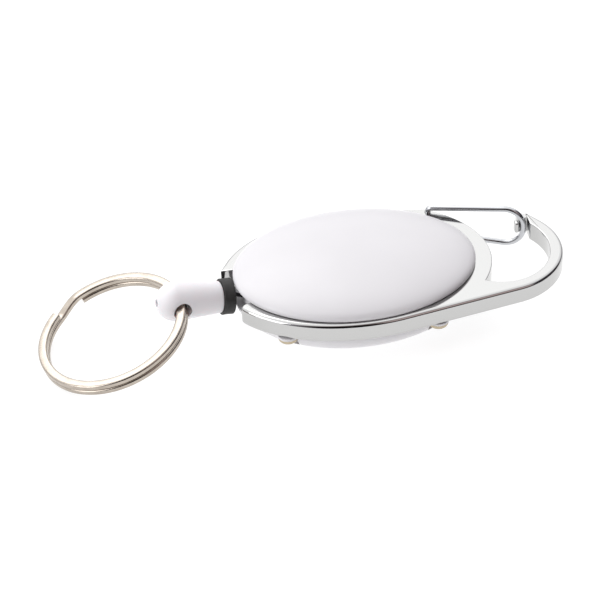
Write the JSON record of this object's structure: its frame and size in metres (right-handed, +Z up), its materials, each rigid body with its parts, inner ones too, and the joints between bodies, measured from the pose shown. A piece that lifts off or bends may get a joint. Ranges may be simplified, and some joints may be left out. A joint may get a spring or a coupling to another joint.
{
  "type": "retractable badge reel",
  "caption": "Oval badge reel in a chrome carabiner frame with a wire gate, and a spring-wound cord that ends in a rubber bumper, a swivelling end piece and a split ring.",
  "frame": {"origin": "middle of the flat face that the reel rests on, under the centre of the oval case", "axes": "+X to the carabiner loop, -X to the cord outlet and the split ring, +Y to the wire gate, +Z up through the domed front cover"},
  "size_m": [0.1072, 0.039, 0.015],
  "materials": {
    "case_plastic": "smooth white moulding",
    "frame_chrome": "chrome plated casting",
    "gate_chrome": "chrome plated spring wire",
    "screw_steel": "plain turned steel",
    "washer_brass": "stamped brass",
    "reel_plastic": "natural acetal",
    "spring_steel": "blued spring strip",
    "cord_nylon": "braided black nylon",
    "bumper_rubber": "moulded black rubber",
    "end_plastic": "white satin moulding",
    "ring_nickel": "nickel plated steel"
  },
  "bodies": {
    "case": {"front_cover": "case_plastic", "back_cover": "case_plastic", "carabiner_frame": "frame_chrome", "case_screws": "screw_steel", "spindle": "screw_steel", "thrust_washer": "washer_brass", "spindle_washer": "washer_brass", "spindle_screw": "screw_steel", "mainspring": "spring_steel", "cord_lead": "cord_nylon"},
    "spool": {"spool": "reel_plastic", "spring_cover": "reel_plastic", "cord_winding": "cord_nylon", "cord_anchor_knot": "cord_nylon"},
    "gate": {"gate_wire": "gate_chrome"},
    "cord_tip": {"bumper_collar": "bumper_rubber", "cord_tail": "cord_nylon", "cord_end_knot": "cord_nylon"},
    "end_fitting": {"cord_end_fitting": "end_plastic"},
    "ring": {"split_ring": "ring_nickel"}
  },
  "joints": [
    {"name": "cord_pull", "type": "slide", "parent": "case", "child": "cord_tip", "axis": [-1, 0, 0], "range_m": [0, 0.6], "stiffness_N_per_m": 1, "springref_m": -0.4},
    {"name": "spool_turn", "type": "hinge", "parent": "case", "child": "spool", "pos_m": [0, 0, 0.0082], "axis": [0, 0, -1], "range_deg": [0, 3080]},
    {"name": "end_swivel", "type": "hinge", "parent": "cord_tip", "child": "end_fitting", "pos_m": [-0.0252, -0.0005, 0.00785], "axis": [-0.9747, -0.1631, 0.153], "continuous": true},
    {"name": "ring_swing", "type": "hinge", "parent": "end_fitting", "child": "ring", "pos_m": [-0.03597, -0.0023, 0.00954], "axis": [-0.1597, 0.9866, 0.0345], "range_deg": [-93.83, 126.17]},
    {"name": "gate_hinge", "type": "hinge", "parent": "case", "child": "gate", "pos_m": [0.0183, 0.0153, 0.00875], "axis": [0, 0, 1], "range_deg": [-28, 0], "stiffness_Nm_per_rad": 0.06, "springref_deg": 5.73}
  ],
  "couplings": [
    {"joint": "spool_turn", "follows": "cord_pull", "rad_per_m": 89.286}
  ]
}
